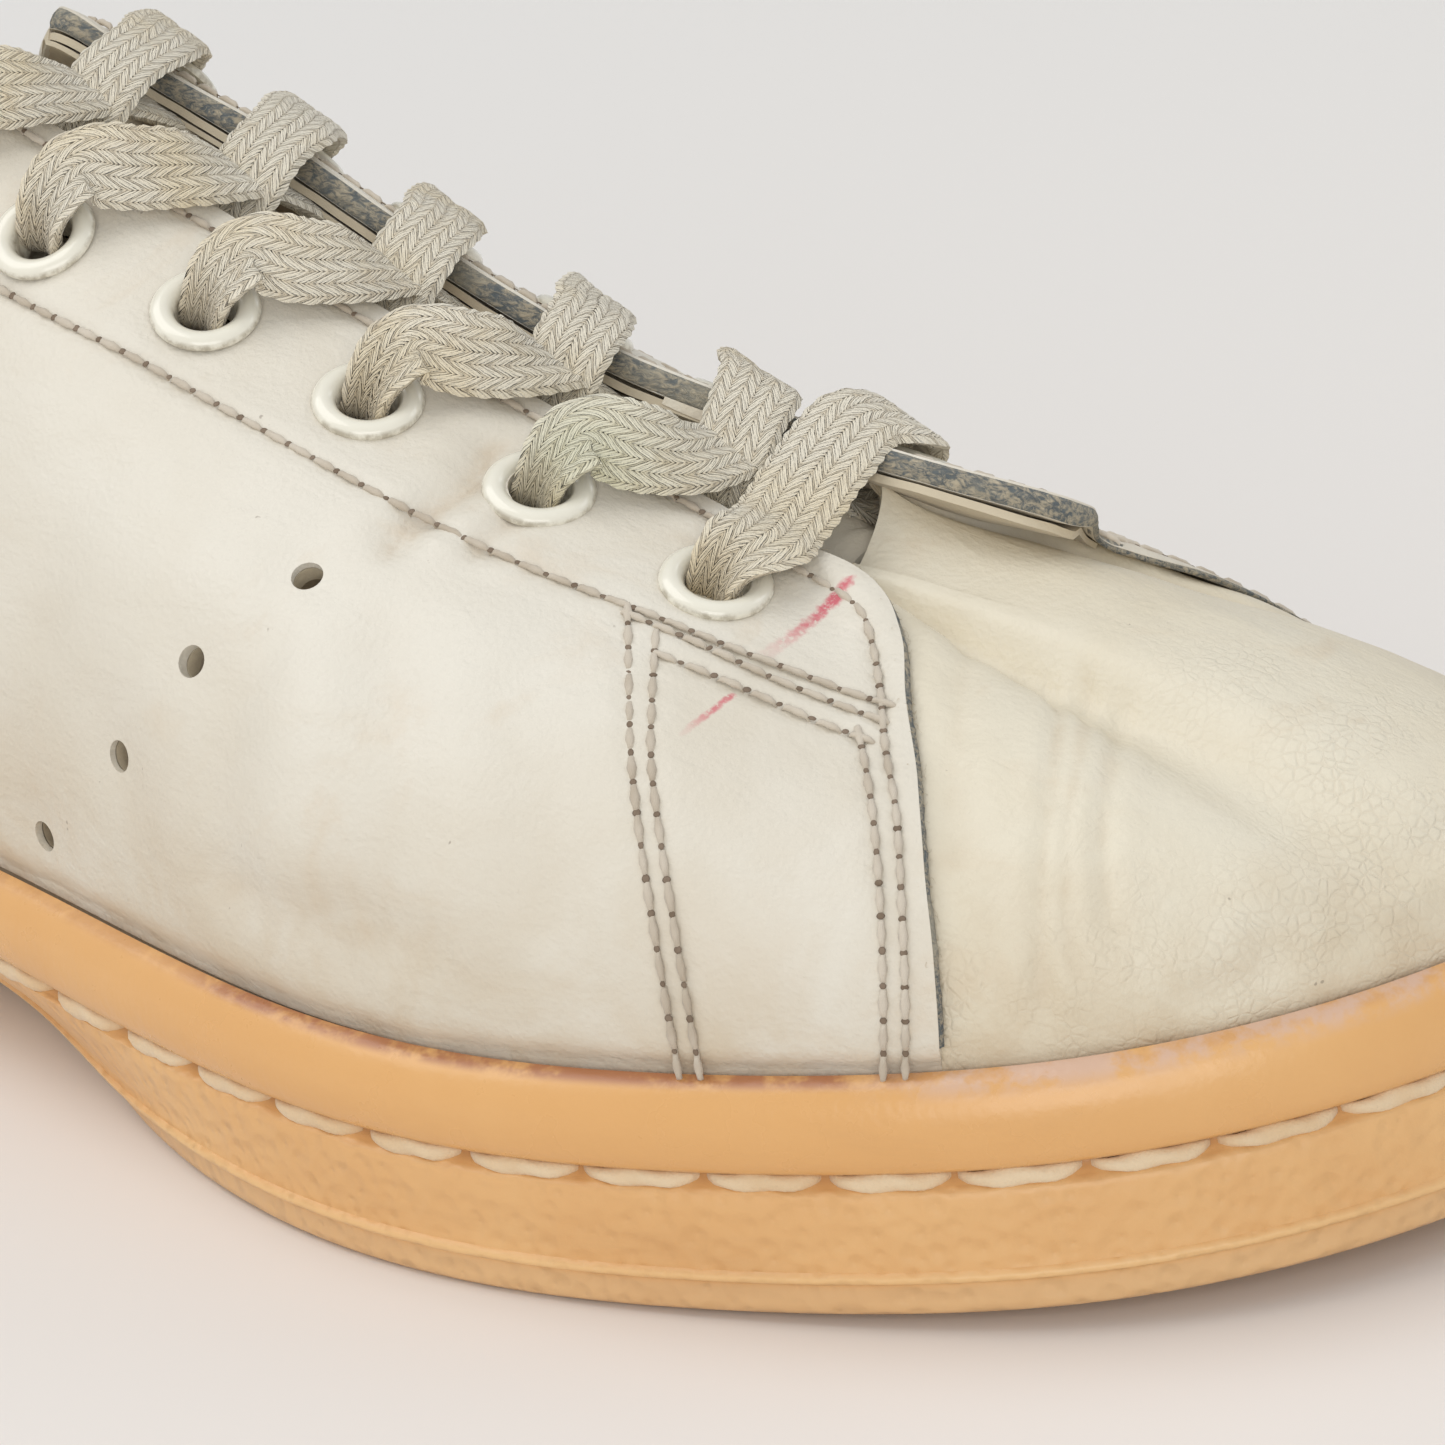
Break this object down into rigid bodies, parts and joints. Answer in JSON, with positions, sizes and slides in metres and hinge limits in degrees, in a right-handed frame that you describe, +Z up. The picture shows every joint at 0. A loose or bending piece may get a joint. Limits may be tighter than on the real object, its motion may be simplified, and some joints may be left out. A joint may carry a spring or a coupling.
{
  "type": "worn sneaker",
  "caption": "Low leather tennis sneaker, worn and dirty, with a stitched rubber cupsole, open-laced throat, enamelled eyelets and a flat cotton lace. Stands on its sole.",
  "frame": {"origin": "middle of the bounding box in plan, at the level of the ground face under heel and forefoot", "axes": "+X to the toe, +Z up, -Y to the outer side of this right shoe"},
  "size_m": [0.2874, 0.1049, 0.0927],
  "materials": {
    "sole_rubber": "aged yellowed rubber, glossy lip, pebbled side",
    "footbed": "worn, matt",
    "upper_leather": "off-white, creased, semi-matt",
    "tongue_leather": "soft, matt",
    "eyelet_enamel": "pale enamel, glossy, chipped",
    "lace_cotton": "flat braid, stained"
  },
  "bodies": {
    "root": {"cupsole": "sole_rubber", "insole": "footbed", "upper": "upper_leather", "heel_tab": "upper_leather", "tongue": "tongue_leather", "eyelet_outer_1": "eyelet_enamel", "eyelet_outer_2": "eyelet_enamel", "eyelet_outer_3": "eyelet_enamel", "eyelet_outer_4": "eyelet_enamel", "eyelet_outer_5": "eyelet_enamel", "eyelet_outer_6": "eyelet_enamel", "eyelet_inner_1": "eyelet_enamel", "eyelet_inner_2": "eyelet_enamel", "eyelet_inner_3": "eyelet_enamel", "eyelet_inner_4": "eyelet_enamel", "eyelet_inner_5": "eyelet_enamel", "eyelet_inner_6": "eyelet_enamel", "lace_bar": "lace_cotton", "lace_cross_1": "lace_cotton", "lace_cross_2": "lace_cotton", "lace_cross_3": "lace_cotton", "lace_cross_4": "lace_cotton", "lace_cross_5": "lace_cotton"}
  },
  "joints": []
}
